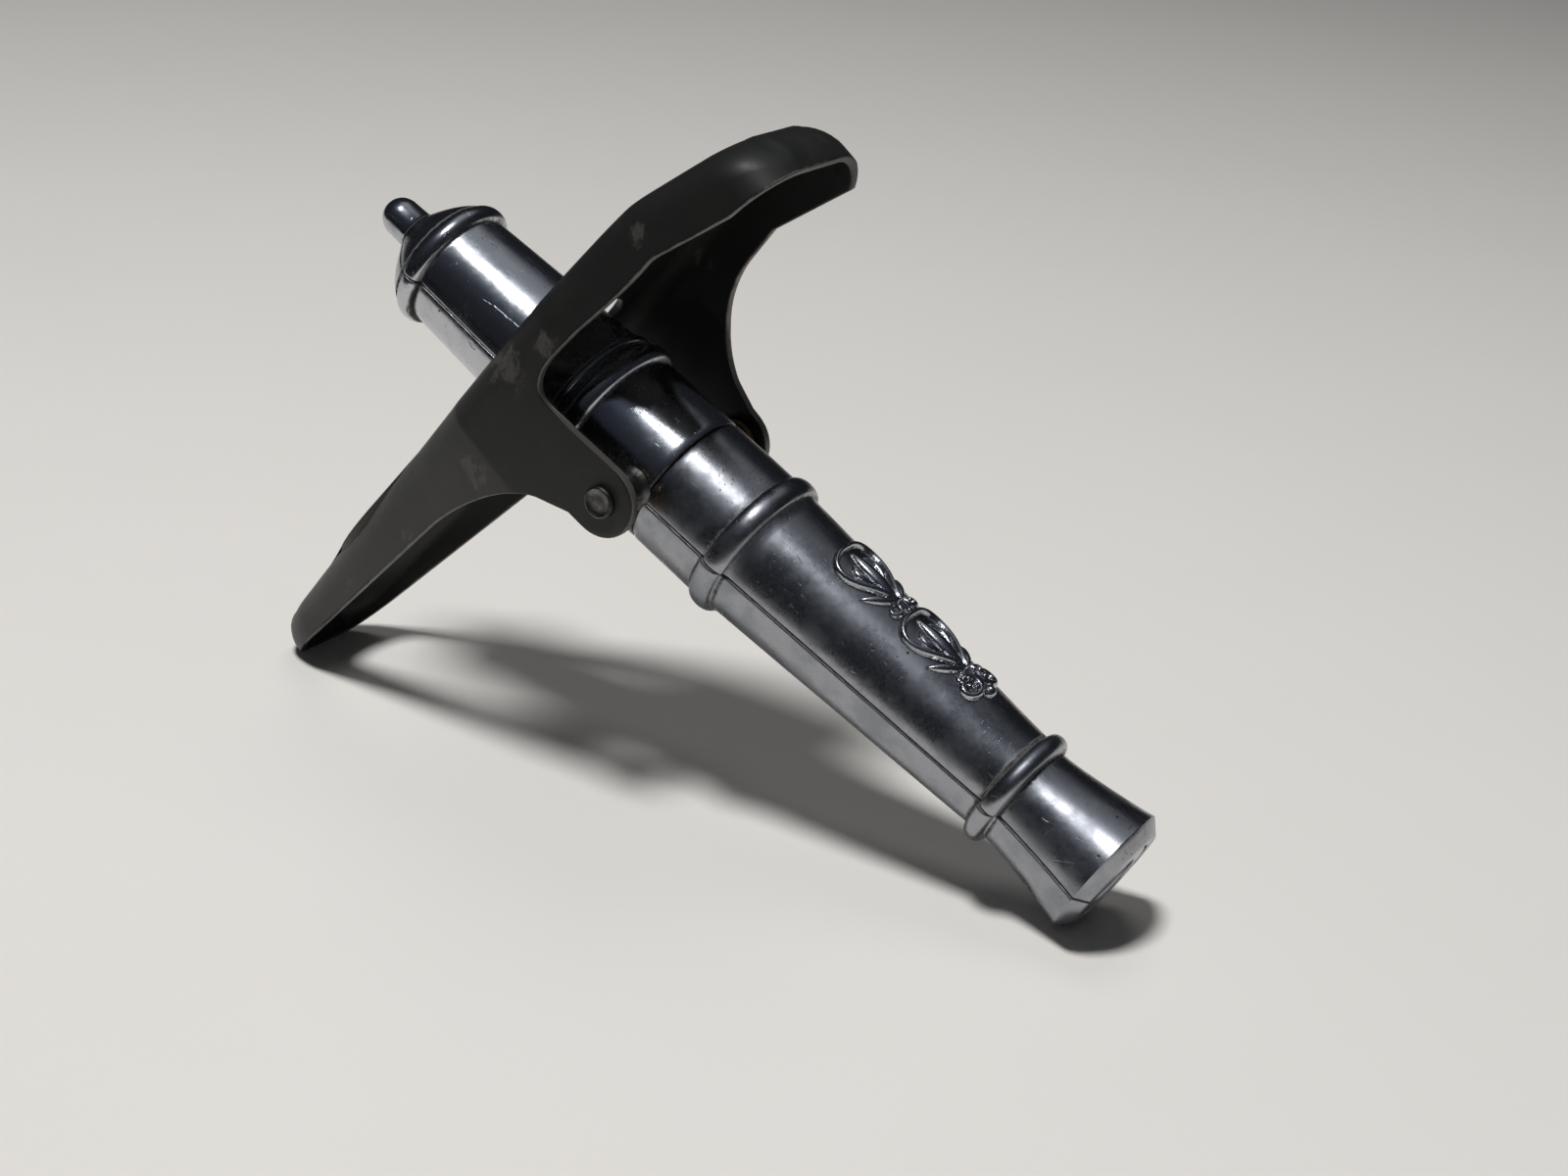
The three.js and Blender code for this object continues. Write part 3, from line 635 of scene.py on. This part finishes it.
def relief():
    spacing = 0.13
    stations = np.arange(22.6, 50.6, spacing)
    across = np.arange(-6.4, 6.4 + spacing / 2, spacing)
    grid_s, grid_u = np.meshgrid(stations, across, indexing="ij")
    heights = np.full(grid_s.shape, -1.0)
    for line, width, height, pointed in relief_strokes():
        lengths = [math.dist(a, b) for a, b in zip(line, line[1:])]
        total = sum(lengths)
        walked = 0.0
        for (a, b), length in zip(zip(line, line[1:]), lengths):
            ds, du = b[0] - a[0], b[1] - a[1]
            t = np.clip(((grid_s - a[0]) * ds + (grid_u - a[1]) * du) / (length * length), 0, 1)
            gap = np.hypot(grid_s - a[0] - t * ds, grid_u - a[1] - t * du)
            share = (walked + t * length) / total
            if pointed:
                swell = np.sin(np.pi * (0.06 + 0.88 * share)) ** 0.7
            else:
                swell = 0.8 + 0.2 * np.sin(np.pi * share)
            local = width * swell
            rise = height * swell * np.sqrt(np.clip(1 - (gap / local) ** 2, 0, 1))
            heights = np.where(gap < local, np.maximum(heights, rise), heights)
            walked += length
    kept = heights > 0.0
    wide = kept.copy()
    for shift_s, shift_u in ((1, 0), (-1, 0), (0, 1), (0, -1)):
        wide |= np.roll(np.roll(kept, shift_s, 0), shift_u, 1)
    cells = wide[:-1, :-1] | wide[1:, :-1] | wide[:-1, 1:] | wide[1:, 1:]
    pinched = True
    while pinched:
        diagonal = cells[:-1, :-1] & cells[1:, 1:] & ~cells[1:, :-1] & ~cells[:-1, 1:]
        other = ~cells[:-1, :-1] & ~cells[1:, 1:] & cells[1:, :-1] & cells[:-1, 1:]
        pinched = bool(diagonal.any() or other.any())
        cells[1:, :-1] |= diagonal
        cells[:-1, :-1] |= other
    top = np.where(kept, heights, -0.12)
    vertices, index, groove = [], {}, []

    def vertex(i, j, level):
        key = (i, j, level)
        if key not in index:
            index[key] = len(vertices)
            radius = chase_radius(stations[i])
            angle = across[j] / radius
            rise = top[i, j] if level else -0.5
            r = radius + rise
            vertices.append(place(stations[i], r * math.sin(angle), r * math.cos(angle)))
            # The groove mask is highest in the relief's hollows and its sunk surround, where it darkens the
            # plate: painted shade, with grime.
            groove.append(math.exp(-max(0.0, rise) / 0.16) if level else 0.0)
        return index[key]

    faces = []
    for i, j in zip(*np.nonzero(cells)):
        corners = ((i, j), (i + 1, j), (i + 1, j + 1), (i, j + 1))
        faces.append(tuple(vertex(a, b, 1) for a, b in corners))
        faces.append(tuple(vertex(a, b, 0) for a, b in reversed(corners)))
        sides = (((i, j - 1), 0, 1), ((i + 1, j), 1, 2), ((i, j + 1), 2, 3), ((i - 1, j), 3, 0))
        for (a, b), first, second in sides:
            inside = 0 <= a < cells.shape[0] and 0 <= b < cells.shape[1] and cells[a, b]
            if not inside:
                p, q = corners[first], corners[second]
                faces.append((vertex(*p, 0), vertex(*q, 0), vertex(*q, 1), vertex(*p, 1)))
    piece = add_piece("chase_relief", vertices, faces, "sheath", ["relief_ornament"],
                      chrome, 70)
    set_attribute(piece, "groove", groove)


relief()

# ---- handle ----
# Handle plan: x runs along the wings towards the bent one, z is across, y goes from the web to the ears.
PIVOT_TO_WEB = 23.2
EAR_HALF_WIDTH = 15.4
LEFT_REACH = 66.8
RIGHT_REACH = 44.5
LEFT_TIP_ROUND = 8.0
RIGHT_TIP_ROUND = 6.0
HANDLE_TILT = math.radians(10)
EAR_RADIUS = 4.65
SHEET = 1.2
CORNER = 4.2
BLUNT_TIP = 4             # half-width that each wing keeps at its very tip
KINK = 26
KINK_SLOPE = math.tan(math.radians(15))
KINK_SOFTNESS = 1.6
LEFT_SAG = math.tan(math.radians(1.6))
LEFT_TURN_UP = 2.6
RIGHT_TURN_UP = 1.6
SLOT_LEFT = -51
SLOT_RIGHT = 5.6
SLOT_HALF_WIDTH = 10.35
SLOT_STRAIGHT = (-36, -0.4)   # where the slot's two sides run parallel
BULGE_X = 27.5            # a faint outward bulge of each flange where the wing bends
BULGE_Z = 11.9
BULGE_HEIGHT = 0.34


def handle_place(x, y, z):
    station = y * math.cos(HANDLE_TILT) + x * math.sin(HANDLE_TILT)
    height = x * math.cos(HANDLE_TILT) - y * math.sin(HANDLE_TILT)
    return place(station, z, height)


def plain_half_width(x):
    return EAR_HALF_WIDTH - 5.6 * min(1.4, max(0.0, (abs(x) - 10) / 42))


def half_width(x):
    reach = LEFT_REACH if x < 0 else RIGHT_REACH
    tip_round = LEFT_TIP_ROUND if x < 0 else RIGHT_TIP_ROUND
    room = min(1.0, max(0.0, (reach - abs(x)) / tip_round))
    return BLUNT_TIP + (plain_half_width(x) - BLUNT_TIP) * math.sqrt(1 - (1 - room) ** 2)


def web_level(x):
    reach = LEFT_REACH if x < 0 else RIGHT_REACH
    curl = min(1.0, max(0.0, 1 - (reach - abs(x)) / 3.5))
    turn_up = (LEFT_TURN_UP if x < 0 else RIGHT_TURN_UP) * curl * curl
    kink = math.log1p(math.exp((x - KINK) / KINK_SOFTNESS)) * KINK_SOFTNESS * KINK_SLOPE
    sag = LEFT_SAG * max(0.0, -x - 12)
    return -PIVOT_TO_WEB + kink - sag + turn_up


def free_edge(notched):
    """The flange's free edge, seen from the side, from the straight wing's tip to the bent wing's."""
    points = [(-LEFT_REACH, -19.9), (-26, -14.9)]
    points += bezier((-26, -14.9), (-19, -13.8), (-10.5, -10.5), (-7.6, -6.4), 16)
    for i in range(29):
        angle = math.radians(194.4 - 205.2 * i / 28)
        points.append((EAR_RADIUS * math.cos(angle), EAR_RADIUS * math.sin(angle)))
    if notched:
        points.append((2.6, -11.2))
        points += bezier((2.6, -11.2), (1.6, -14.6), (3.2, -16.4), (7.4, -16.4), 16)
        points.append((13, -16.2))
        points += bezier((13, -16.2), (18, -15.6), (22, -15.4), (26, -15.6), 8)
        points += [(37, -12.3), (RIGHT_REACH, -11.6)]
    else:
        points.append((5.6, -5.2))
        points += bezier((5.6, -5.2), (8, -10.6), (13, -14), (19, -14.4), 14)
        points += [(26, -14.4), (39, -10), (RIGHT_REACH, -11.6)]
    return refine(points, 0.5)


def slot_edge():
    """One side of the web's slot, from its rear end on the middle line to its front end."""
    left, right = SLOT_STRAIGHT
    wide = SLOT_HALF_WIDTH
    points = [(SLOT_LEFT, 0.0)]
    points += bezier((SLOT_LEFT, 0.0), (-50.8, 1.6), (-50.4, 3.4), (-49.5, 4.6), 6)
    points += bezier((-49.5, 4.6), (-47, 7.6), (-43, wide), (left, wide), 10)
    points.append((right, wide))
    points += bezier((right, wide), (SLOT_RIGHT, wide), (SLOT_RIGHT, 5), (SLOT_RIGHT, 0.0), 14)
    return refine(points, 0.6)


def along_line(points, start, end, count):
    """count + 1 points evenly spaced on a polyline between two of its indices."""
    part = points[start:end + 1]
    lengths = [0.0]
    for a, b in zip(part, part[1:]):
        lengths.append(lengths[-1] + math.dist(a, b))
    result = []
    k = 0
    for i in range(count + 1):
        goal = lengths[-1] * i / count
        while k < len(part) - 2 and lengths[k + 1] < goal:
            k += 1
        t = (goal - lengths[k]) / max(1e-9, lengths[k + 1] - lengths[k])
        result.append(tuple(part[k][n] + (part[k + 1][n] - part[k][n]) * t for n in (0, 1)))
    return result


def nearest_index(points, x, after=0):
    return min(range(after, len(points)), key=lambda i: abs(points[i][0] - x))


def side_columns(notched):
    """Columns of one flange: (outline point, free edge point, slot point), tip centre to tip centre."""
    root_to = 6.5 if notched else 20.0
    root_from = -14.0
    outline = [(-LEFT_REACH, BLUNT_TIP * i / 5) for i in range(6)]
    for i in range(1, 17):
        outline.append((-LEFT_REACH + LEFT_TIP_ROUND * (1 - math.cos(math.pi / 2 * i / 16)), None))
    left = outline[-1][0]
    outline += [(left + (root_from - left) * i / 56, None) for i in range(1, 57)]
    ear_first = len(outline) - 1
    ear_count = 84
    ear_reach = root_to - root_from
    outline += [(root_from + ear_reach * i / ear_count, None) for i in range(1, ear_count + 1)]
    ear_last = len(outline) - 1
    right = RIGHT_REACH - RIGHT_TIP_ROUND
    outline += [(root_to + (right - root_to) * i / 40, None) for i in range(1, 41)]
    for i in range(1, 17):
        outline.append((right + RIGHT_TIP_ROUND * math.sin(math.pi / 2 * i / 16), None))
    outline += [(RIGHT_REACH, BLUNT_TIP - BLUNT_TIP * i / 5) for i in range(1, 6)]
    outline = [(x, half_width(x) if z is None else z) for x, z in outline]

    edge = free_edge(notched)
    edge_first = nearest_index(edge, root_from)
    bottom = max(range(len(edge)), key=lambda i: edge[i][1])
    edge_last = nearest_index(edge, root_to, bottom + 20)
    ear = along_line(edge, edge_first, edge_last, ear_count)
    before = sorted(edge[:edge_first + 1])
    beyond = edge[edge_last:]

    slot = slot_edge()
    straight_from, straight_to = SLOT_STRAIGHT
    slot_left = nearest_index(slot, straight_from)
    slot_right = max(i for i, p in enumerate(slot) if p[0] <= straight_to + 1e-6)
    left_count = min(i for i, p in enumerate(outline) if p[0] >= straight_from)
    right_start = min(i for i, p in enumerate(outline) if p[0] >= straight_to)
    slot_points = along_line(slot, 0, slot_left, left_count)
    for i in range(left_count + 1, right_start):
        slot_points.append((outline[i][0], SLOT_HALF_WIDTH))
    slot_points += along_line(slot, slot_right, len(slot) - 1, len(outline) - 1 - right_start)
    columns = []
    for i, (x, z) in enumerate(outline):
        if ear_first <= i <= ear_last:
            bottom_point = ear[i - ear_first]
        else:
            bottom_point = (x, interpolate(x, before if i < ear_first else beyond))
        columns.append(((x, z), bottom_point, slot_points[i]))
    return columns


def rim(corner, outwards, inwards, edge_round=0.3):
    """The rounded cut edge of the sheet, from its outside to its inside."""
    points = []
    for inset, first in ((edge_round, True), (SHEET - edge_round, False)):
        centre = corner - outwards * edge_round + inwards * inset
        for i in range(4):
            angle = math.pi / 6 * i
            a, b = (math.sin(angle), -math.cos(angle)) if first else (math.cos(angle), math.sin(angle))
            points.append(centre + (outwards * a + inwards * b) * edge_round)
    return points


def handle_column(outline_point, edge_point, slot_point, normal, side):
    """One closed section of the sheet: outside from slot to free edge, then back along the inside."""
    (x, z), (ex, ey), (sx, sz) = outline_point, edge_point, slot_point
    web_rows, arc_rows, flange_rows = 12, 8, 18
    room = ey - web_level(x) if abs(x) > 20 else CORNER / 0.8
    corner = max(SHEET + 0.3, min(CORNER, 0.75 * half_width(x), 0.8 * room))
    inner_x, inner_z = x - normal.x * corner, z - normal.y * corner
    inwards_web = Vector((0, 1, 0))
    inwards_flange = Vector((-normal.x, 0, -normal.y))
    outside, inwards = [], []
    for i in range(web_rows):
        t = i / web_rows
        px, pz = sx + (inner_x - sx) * t, sz + (inner_z - sz) * t
        outside.append(Vector((px, web_level(px), pz)))
        inwards.append(inwards_web)
    for i in range(arc_rows + 1):
        angle = math.pi / 2 * i / arc_rows
        px = inner_x + normal.x * corner * math.sin(angle)
        pz = inner_z + normal.y * corner * math.sin(angle)
        outside.append(Vector((px, web_level(px) + corner * (1 - math.cos(angle)), pz)))
        inwards.append(inwards_web * math.cos(angle) + inwards_flange * math.sin(angle))
    start = outside[-1].copy()
    for i in range(1, flange_rows + 1):
        t = i / flange_rows
        px, py = start.x + (ex - start.x) * t, start.y + (ey - start.y) * t
        pz = side * plain_half_width(px) if abs(ex - x) > 1e-6 else z
        outside.append(Vector((px, py, pz)))
        inwards.append(inwards_flange)
    bulge_centre = (BULGE_X, web_level(BULGE_X) + 1.6, side * BULGE_Z)
    for p, n in zip(outside, inwards):
        wave = 0.05 + 0.05 * noise.noise(Vector((p.x / 11, p.y / 9, p.z / 9)))
        bulge = BULGE_HEIGHT * math.exp(-math.dist(p, bulge_centre) ** 2 / 5.5)
        p += n * (wave - bulge)
    slot_rim = rim(outside[0], (outside[0] - outside[2]).normalized(), inwards[0])
    free_rim = rim(outside[-1], (outside[-1] - outside[-3]).normalized(), inwards[-1])
    inside = [p + n * SHEET for p, n in zip(outside, inwards)]
    return slot_rim[::-1] + outside[1:-1] + free_rim + inside[-2:0:-1]


def handle():
    near = side_columns(True)
    far = side_columns(False)
    columns = [((x, -z), edge, (sx, -sz), -1) for (x, z), edge, (sx, sz) in near]
    columns += [(*c, 1) for c in reversed(far[1:-1])]
    total = len(columns)
    vertices, edge_values, scuff_values = [], [], []
    for k, (outline_point, edge_point, slot_point, side) in enumerate(columns):
        ahead, behind = columns[(k + 1) % total][0], columns[k - 1][0]
        tangent = Vector((ahead[0] - behind[0], ahead[1] - behind[1])).normalized()
        normal = Vector((tangent.y, -tangent.x))
        column = handle_column(outline_point, edge_point, slot_point, normal, side)
        x, y = edge_point
        for p in column:
            vertices.append(handle_place(*p))
            edge_values.append(math.exp(-math.dist((p.x, p.y), (x, y)) / 0.55))
            scuff_values.append(scuffed(p))
    rows = len(column)
    faces = []
    for k in range(total):
        for i in range(rows):
            j = (i + 1) % rows
            a, b = k * rows, ((k + 1) % total) * rows
            faces.append((a + i, a + j, b + j, b + i))
    piece = add_piece("handle_sheet", vertices, faces, "handle", ["handle_channel"],
                      enamel, 60)
    set_attribute(piece, "edge", edge_values)
    set_attribute(piece, "scuff", scuff_values)


SCUFFS = (
    # x, y and z in the handle plan, and the reach of each patch, in millimetres
    (-31, -16.5, -14.5, 4.5),
    (-13, -14.5, -15.4, 5.0),
    (1, -20, -15.0, 6.0),
    (8, -18, -15.4, 4.0),
    (-46, -19, -12.0, 4.0),
    (27, -19, -14.0, 4.0),
    (-25, -18, 14.5, 6.0),
    (14, -20, 15.0, 5.0),
)


def scuffed(p):
    strength = 0.0
    for x, y, z, reach in SCUFFS:
        strength = max(strength, math.exp(-math.dist(p, (x, y, z)) ** 2 / reach ** 2))
    return strength


handle()


# ---- stage: paper floor, lights and camera ----
STAGE_HALF = 2.5


def floor():
    half = STAGE_HALF
    steps = 20
    vertices, faces = [], []
    for i in range(steps + 1):
        for j in range(steps + 1):
            vertices.append((half * (2 * i / steps - 1), half * (2 * j / steps - 1), 0.0))
    for i in range(steps):
        for j in range(steps):
            a = i * (steps + 1) + j
            faces.append((a, a + steps + 1, a + steps + 2, a + 1))
    mesh = bpy.data.meshes.new("floor")
    mesh.from_pydata(vertices, [], faces)
    paper = bpy.data.objects.new("floor", mesh)
    bpy.context.scene.collection.objects.link(paper)
    mesh.materials.append(paper_material())


def direction(azimuth, elevation):
    """Unit vector; azimuth 0 looks along +Y and turns towards +X."""
    a, e = math.radians(azimuth), math.radians(elevation)
    return Vector((math.sin(a) * math.cos(e), math.cos(a) * math.cos(e), math.sin(e)))


def soft_light(name, azimuth, elevation, distance, size, watts, colour):
    lamp = bpy.data.lights.new(name, "AREA")
    lamp.shape = "DISK"
    lamp.size = size
    lamp.energy = watts
    lamp.color = colour
    light = bpy.data.objects.new(name, lamp)
    bpy.context.scene.collection.objects.link(light)
    where = direction(azimuth, elevation)
    light.location = where * distance
    light.rotation_euler = where.to_track_quat("Z", "Y").to_euler()
    return light


def dim_room(glows):
    """A dim bluish room for reflections, with soft glows on its ceiling, and an even pale fill."""
    world = bpy.data.worlds.new("room")
    bpy.context.scene.world = world
    world.use_nodes = True
    tree = world.node_tree
    tree.nodes.clear()
    new, link = tree.nodes.new, tree.links.new
    facing = new("ShaderNodeTexCoord").outputs["Generated"]
    total = None
    for towards, stops in glows:
        cosine = new("ShaderNodeVectorMath")
        cosine.operation = "DOT_PRODUCT"
        link(facing, cosine.inputs[0])
        cosine.inputs[1].default_value = towards
        ramp = new("ShaderNodeValToRGB")
        link(cosine.outputs["Value"], ramp.inputs["Fac"])
        ramp.color_ramp.elements[0].color = (*stops[0][1], 1)
        ramp.color_ramp.elements[1].color = (*stops[-1][1], 1)
        for position, colour in stops[1:-1]:
            ramp.color_ramp.elements.new(position).color = (*colour, 1)
        if total is None:
            total = ramp.outputs["Color"]
            continue
        both = new("ShaderNodeVectorMath")
        link(total, both.inputs[0])
        link(ramp.outputs["Color"], both.inputs[1])
        total = both.outputs["Vector"]
    room = new("ShaderNodeBackground")
    link(total, room.inputs["Color"])
    pale = new("ShaderNodeBackground")
    pale.inputs["Color"].default_value = (0.97, 0.985, 1.0, 1)
    pale.inputs["Strength"].default_value = FILL
    rays = new("ShaderNodeLightPath")
    choose = new("ShaderNodeMixShader")
    link(rays.outputs["Is Glossy Ray"], choose.inputs["Fac"])
    link(pale.outputs["Background"], choose.inputs[1])
    link(room.outputs["Background"], choose.inputs[2])
    output = new("ShaderNodeOutputWorld")
    link(choose.outputs["Shader"], output.inputs["Surface"])


def dark_card(name, corners):
    """A dark card lying on the floor that only the polished metal sees, as a studio flag does."""
    mesh = bpy.data.meshes.new(name)
    mesh.from_pydata(corners, [], [(0, 1, 2, 3)])
    n = Nodes(name)
    shade = n.mix(n.noise(0.2), (0.012, 0.013, 0.016, 1), (0.02, 0.021, 0.025, 1))
    mesh.materials.append(n.finish({"Base Color": shade, "Roughness": 0.9, "Specular IOR Level": 0.1}))
    card = bpy.data.objects.new(name, mesh)
    bpy.context.scene.collection.objects.link(card)
    card.visible_camera = False
    card.visible_diffuse = False
    card.visible_shadow = False
    card.visible_transmission = False


CAMERA_AIM = Vector((0.00406, 0.01378, 0.02344))
CAMERA_FROM = (149.85, 22.83)
CAMERA_DISTANCE = 0.3308
CAMERA_ROLL = math.radians(5.19)


def camera():
    forward = -direction(*CAMERA_FROM)
    eye = bpy.data.cameras.new("camera")
    eye.lens = 58.5
    eye.sensor_width = 36
    eye.clip_start = 0.01
    holder = bpy.data.objects.new("camera", eye)
    bpy.context.scene.collection.objects.link(holder)
    holder.location = CAMERA_AIM - forward * CAMERA_DISTANCE
    level = forward.to_track_quat("-Z", "Y").to_matrix().to_4x4()
    holder.rotation_euler = (level @ Matrix.Rotation(CAMERA_ROLL, 4, "Z")).to_euler()
    bpy.context.scene.camera = holder


# Azimuth and elevation of the lights. Only reflections see the window, and they see no other light.
WINDOW = (173, 72)
KEY = (190, 77)
LAMP = (-20, 66)
BACK_GLOW = (-5, 72)
FILL = 0.042
FRONT_EDGE = -0.10
CARD_LIFT = 0.0004
floor()
shine = soft_light("window", *WINDOW, 0.9, 0.24, 2.1, (1.0, 0.995, 1.0))
shine.visible_diffuse = False
key = soft_light("key", *KEY, 0.9, 0.20, 6.9, (1.0, 0.985, 0.965))
key.visible_glossy = False
lamp = soft_light("lamp", *LAMP, 1.0, 0.45, 1.0, (1.0, 0.975, 0.94))
lamp.visible_glossy = False
dim_room((
    (direction(*WINDOW), ((0.0, (0.015, 0.016, 0.019)), (0.6, (0.022, 0.024, 0.030)),
                          (0.86, (0.04, 0.046, 0.06)), (0.97, (0.11, 0.13, 0.17)),
                          (1.0, (0.2, 0.23, 0.28)))),
    (direction(*BACK_GLOW), ((0.0, (0, 0, 0)), (0.9, (0, 0, 0)), (0.96, (0.20, 0.205, 0.21)),
                             (1.0, (0.34, 0.35, 0.36)))),
))
card_plan = [(-STAGE_HALF, -STAGE_HALF), (STAGE_HALF, -STAGE_HALF)]
card_plan += [(STAGE_HALF, FRONT_EDGE), (-STAGE_HALF, FRONT_EDGE)]
dark_card("front_card", [(x, y, CARD_LIFT) for x, y in card_plan])
camera()
bpy.context.scene.view_settings.view_transform = "Standard"
